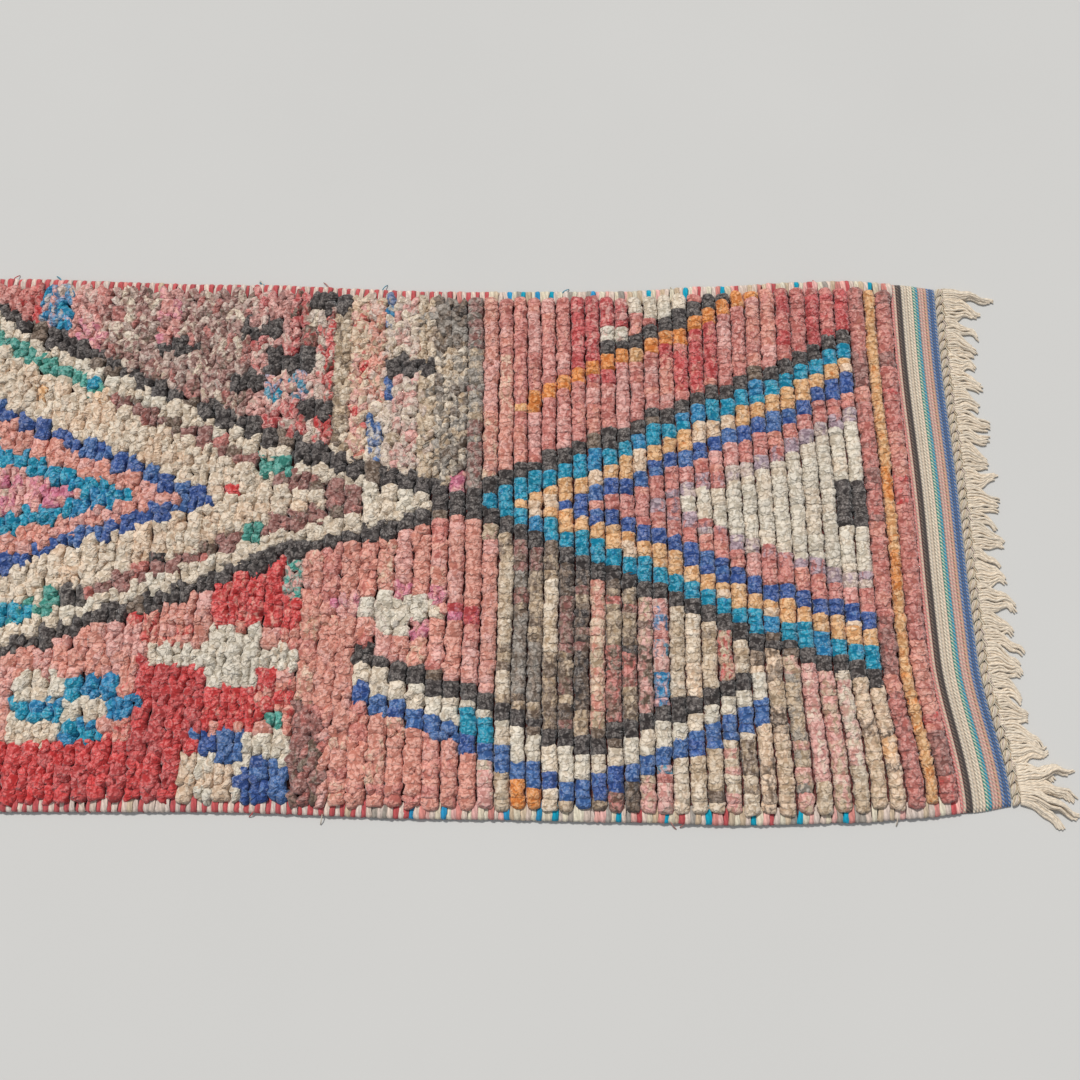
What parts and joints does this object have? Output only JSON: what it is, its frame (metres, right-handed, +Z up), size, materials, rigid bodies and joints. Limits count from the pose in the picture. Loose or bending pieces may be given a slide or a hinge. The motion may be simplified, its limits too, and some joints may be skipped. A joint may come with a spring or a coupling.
{
  "type": "moroccan runner rug",
  "caption": "Long narrow hand-knotted wool rug with ribbed pile, lozenges and confetti colours on rose and grey, striped flat-woven ends and one knotted cotton fringe.",
  "frame": {"origin": "on the floor, at the middle of the rug's flat underside", "axes": "+X along the runner toward its fringed end, +Y across the runner, +Z up out of the pile"},
  "size_m": [2.5826, 0.6937, 0.017],
  "materials": {
    "knotted_pile": "matt knotted wool pile in ribs",
    "warp_cotton": "matt twisted cotton warp",
    "cord_cotton": "matt twined cotton cord"
  },
  "bodies": {
    "root": {"rug_body": "knotted_pile", "fringe_end": "warp_cotton", "closing_cord": "cord_cotton"}
  },
  "joints": []
}
